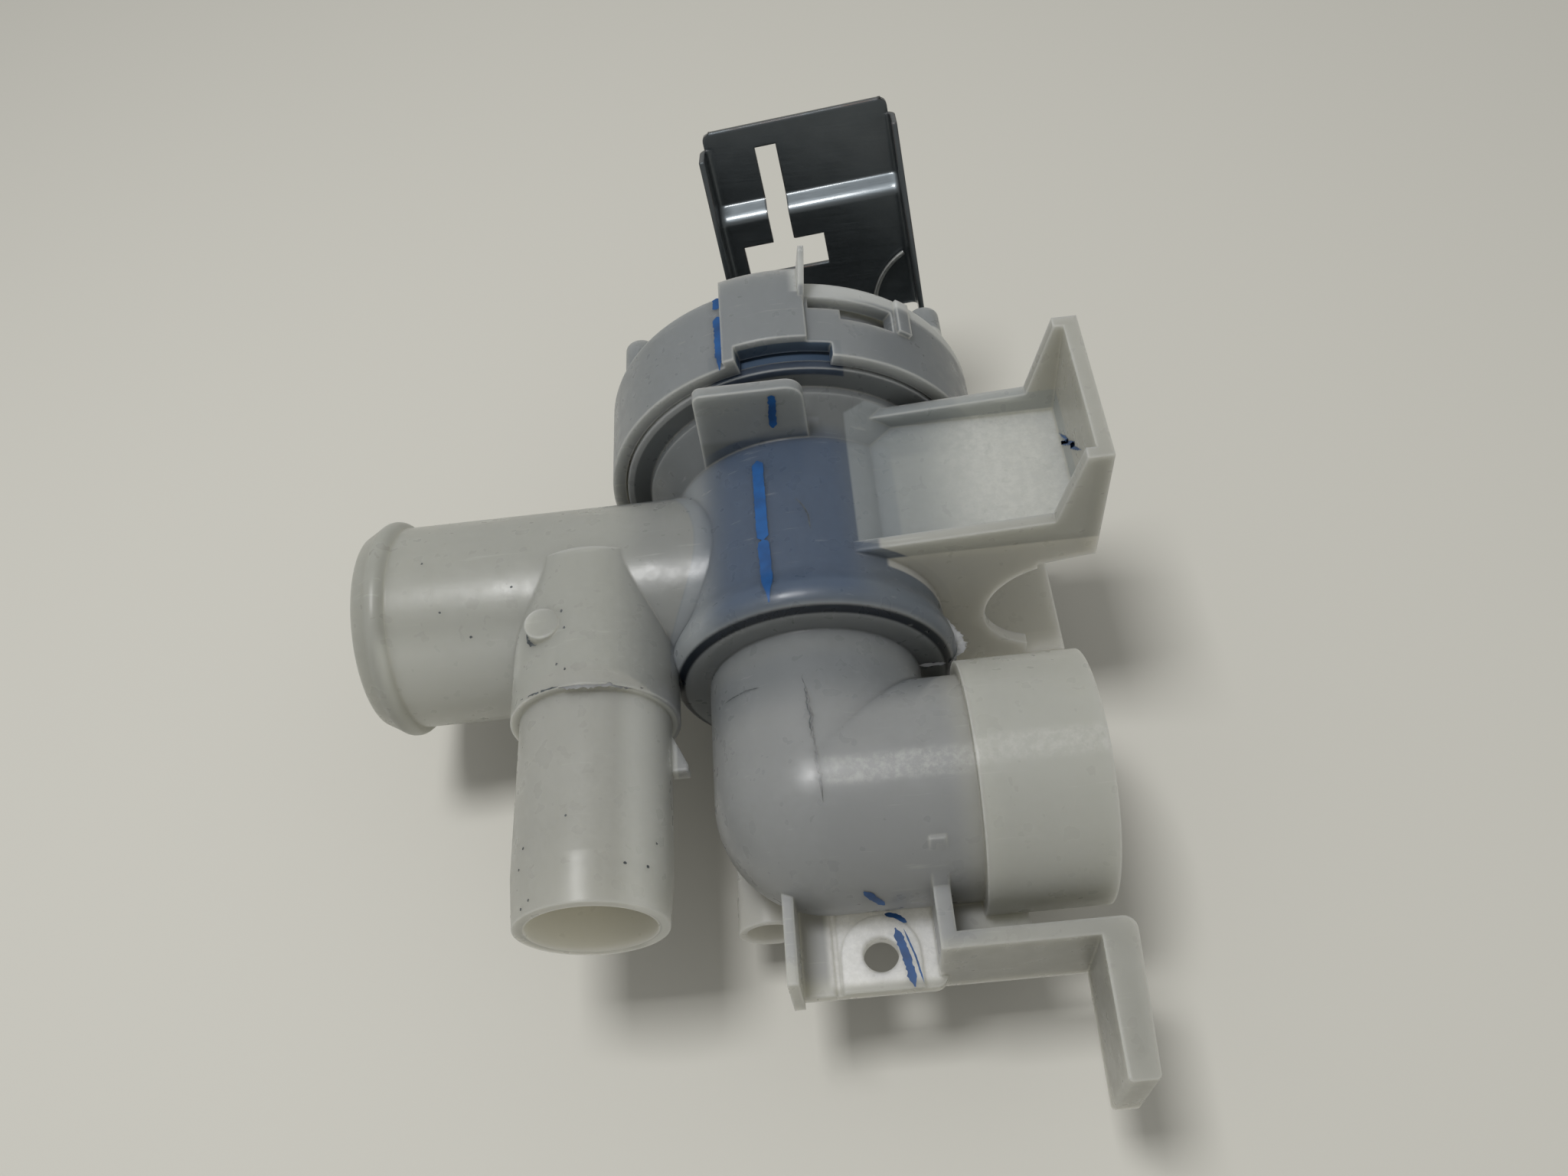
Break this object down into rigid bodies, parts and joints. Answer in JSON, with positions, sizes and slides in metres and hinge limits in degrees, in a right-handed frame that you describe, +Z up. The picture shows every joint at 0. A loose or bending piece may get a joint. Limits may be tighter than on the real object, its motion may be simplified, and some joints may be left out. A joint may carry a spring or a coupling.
{
  "type": "washing machine drain valve",
  "caption": "Moulded plastic drain valve: chamber with outlet, elbow inlet and overflow pipes, bayonet cap, rubber plug and a sprung pull rod with a hinged slotted steel plate.",
  "frame": {"origin": "on the outlet pipe's axis, at the shoulder of its hose bead, 6 mm inside the mouth", "axes": "+X from the outlet towards the inlet side, +Y the way the rod is pulled out of the cap, +Z up, out of the screw bracket's face"},
  "size_m": [0.124, 0.165, 0.0824],
  "materials": {
    "natural_pp": "natural milky polypropylene, satin",
    "inner_pp": "plain moulded plastic",
    "navy_rubber": "soft navy rubber",
    "spring_steel": "drawn wire",
    "zinc_sheet": "plated pressed sheet",
    "bright_steel": "turned"
  },
  "bodies": {
    "housing": {"valve_body": "natural_pp", "valve_cap": "natural_pp", "rubber_plug": "navy_rubber", "outer_spring": "spring_steel"},
    "plunger": {"guide_sleeve": "inner_pp", "pull_rod": "inner_pp", "inner_spring": "spring_steel", "hinge_pin": "bright_steel", "pin_clip": "bright_steel"},
    "plate": {"pull_plate": "zinc_sheet", "plate_spring": "spring_steel"}
  },
  "joints": [
    {"name": "rod_slide", "type": "slide", "parent": "housing", "child": "plunger", "axis": [0, 1, 0], "range_m": [0, 0.012], "stiffness_N_per_m": 400, "springref_m": -0.015, "deforming": ["rubber_plug", "outer_spring"]},
    {"name": "plate_hinge", "type": "hinge", "parent": "plunger", "child": "plate", "pos_m": [0.07, 0.057, 0], "axis": [0.9952, 0, 0.0976], "range_deg": [-75, 0], "stiffness_Nm_per_rad": 0.02, "springref_deg": 20.05, "deforming": ["plate_spring"]}
  ]
}
